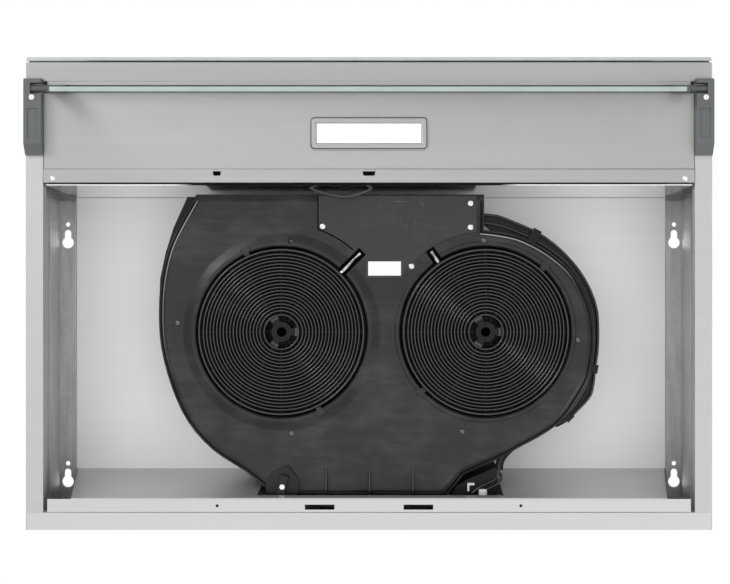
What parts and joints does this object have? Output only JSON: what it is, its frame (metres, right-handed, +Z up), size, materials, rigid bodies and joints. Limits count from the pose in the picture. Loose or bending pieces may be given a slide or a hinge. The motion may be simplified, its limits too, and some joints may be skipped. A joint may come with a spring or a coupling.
{
  "type": "integrated range hood",
  "caption": "Shallow steel range hood that hangs by its top, open underneath, with a twin-scroll blower, round carbon filters, a strip lamp and a fold-down glass visor.",
  "frame": {"origin": "centre of the four small fixing holes, in the top face of the canopy", "axes": "+X to the right as seen from below with the front edge up, along the hood's width; +Y from the front toward the wall; +Z up, out of the top face"},
  "size_m": [0.759, 0.523, 0.2607],
  "materials": {
    "brushed_sheet": "fine brushed stainless sheet, satin",
    "zinc_sheet": "galvanised sheet with a faint spangle",
    "black_moulding": "fine spark-eroded texture, satin",
    "filter_moulding": "satin moulded ribs",
    "bracket_plastic": "grey moulded plastic, matt",
    "plate_steel": "dark grey coated sheet with light scuffs",
    "fascia_glass": "toughened glass, polished edge",
    "visor_glass": "toughened float glass, ground edge",
    "white_lens": "opal diffuser",
    "white_moulding": "smooth white plastic",
    "label_paper": "blank white sticker",
    "zinc_screw": "bright zinc plating",
    "spring_steel": "sprung steel strip",
    "motor_steel": "plated motor shell",
    "shaft_steel": "ground steel rod",
    "impeller_plastic": "moulded drum wheel",
    "rubber": "soft black rubber",
    "cable_jacket": "smooth black cable jacket",
    "circuit_board": "green solder mask",
    "charcoal": "carbon granules in a fleece",
    "capacitor_case": "light grey film capacitor case",
    "flap_plastic": "thin moulded flap"
  },
  "bodies": {
    "canopy": {"canopy_top": "brushed_sheet", "canopy_front": "brushed_sheet", "canopy_back": "brushed_sheet", "canopy_side_left": "brushed_sheet", "canopy_side_right": "brushed_sheet", "side_rail_left": "zinc_sheet", "side_rail_right": "zinc_sheet", "bay_ceiling": "brushed_sheet", "bay_front": "brushed_sheet", "rear_rail": "brushed_sheet", "filter_lip": "brushed_sheet", "lamp_panel": "brushed_sheet", "glass_fascia": "fascia_glass", "fascia_pads": "rubber", "board_carrier": "black_moulding", "control_board": "circuit_board", "motor_capacitor": "capacitor_case", "lamp_bezel": "brushed_sheet", "lamp_lens": "white_lens", "led_board": "circuit_board", "hinge_bracket_left": "bracket_plastic", "hinge_bracket_right": "bracket_plastic", "bracket_screws": "zinc_screw", "blower_cover": "black_moulding", "blower_housing": "black_moulding", "motor_left": "motor_steel", "motor_right": "motor_steel", "motor_mounts": "rubber", "inlet_guard_left": "black_moulding", "inlet_guard_right": "black_moulding", "cover_screws": "zinc_screw", "bridge_plate": "plate_steel", "plate_label": "label_paper", "spring_clips": "spring_steel", "outlet_collar": "black_moulding", "flap_rod": "shaft_steel", "motor_cable_inner": "cable_jacket", "motor_cable_outer": "cable_jacket", "cable_clips": "black_moulding", "lamp_wire": "cable_jacket", "wiring_box": "black_moulding", "wire_connector": "bracket_plastic", "connector_clip": "white_moulding", "mains_gland": "black_moulding"},
    "visor": {"visor_glass": "visor_glass", "visor_jaw_left": "zinc_screw", "visor_jaw_right": "zinc_screw"},
    "fan_left": {"impeller_left": "impeller_plastic", "impeller_nut_left": "zinc_screw"},
    "fan_right": {"impeller_right": "impeller_plastic", "impeller_nut_right": "zinc_screw"},
    "carbon_left": {"filter_left": "filter_moulding", "charcoal_left": "charcoal"},
    "carbon_right": {"filter_right": "filter_moulding", "charcoal_right": "charcoal"},
    "mode_selector": {"mode_knob": "black_moulding", "knob_screw": "zinc_screw", "diverter_vane": "black_moulding"},
    "flap_front": {"flap_front": "flap_plastic"},
    "flap_rear": {"flap_rear": "flap_plastic"}
  },
  "joints": [
    {"name": "visor_fold", "type": "hinge", "parent": "canopy", "child": "visor", "pos_m": [0, -0.287, -0.1345], "axis": [1, 0, 0], "range_deg": [0, 80]},
    {"name": "fan_left_spin", "type": "hinge", "parent": "canopy", "child": "fan_left", "pos_m": [-0.099, -0.018, -0.06], "axis": [0, 0, 1], "continuous": true},
    {"name": "fan_right_spin", "type": "hinge", "parent": "canopy", "child": "fan_right", "pos_m": [0.131, -0.018, -0.06], "axis": [0, 0, 1], "continuous": true},
    {"name": "carbon_left_twist", "type": "hinge", "parent": "canopy", "child": "carbon_left", "pos_m": [-0.099, -0.018, -0.1], "axis": [0, 0, 1], "range_deg": [0, 45]},
    {"name": "carbon_right_twist", "type": "hinge", "parent": "canopy", "child": "carbon_right", "pos_m": [0.131, -0.018, -0.1], "axis": [0, 0, 1], "range_deg": [0, 45]},
    {"name": "mode_turn", "type": "hinge", "parent": "canopy", "child": "mode_selector", "pos_m": [-0.098, 0.156, -0.09], "axis": [0, 0, -1], "range_deg": [0, 70]},
    {"name": "flap_front_swing", "type": "hinge", "parent": "canopy", "child": "flap_front", "pos_m": [0, 0.092, 0.028], "axis": [-1, 0, 0], "range_deg": [0, 75]},
    {"name": "flap_rear_swing", "type": "hinge", "parent": "canopy", "child": "flap_rear", "pos_m": [0, 0.092, 0.028], "axis": [1, 0, 0], "range_deg": [0, 75]}
  ]
}
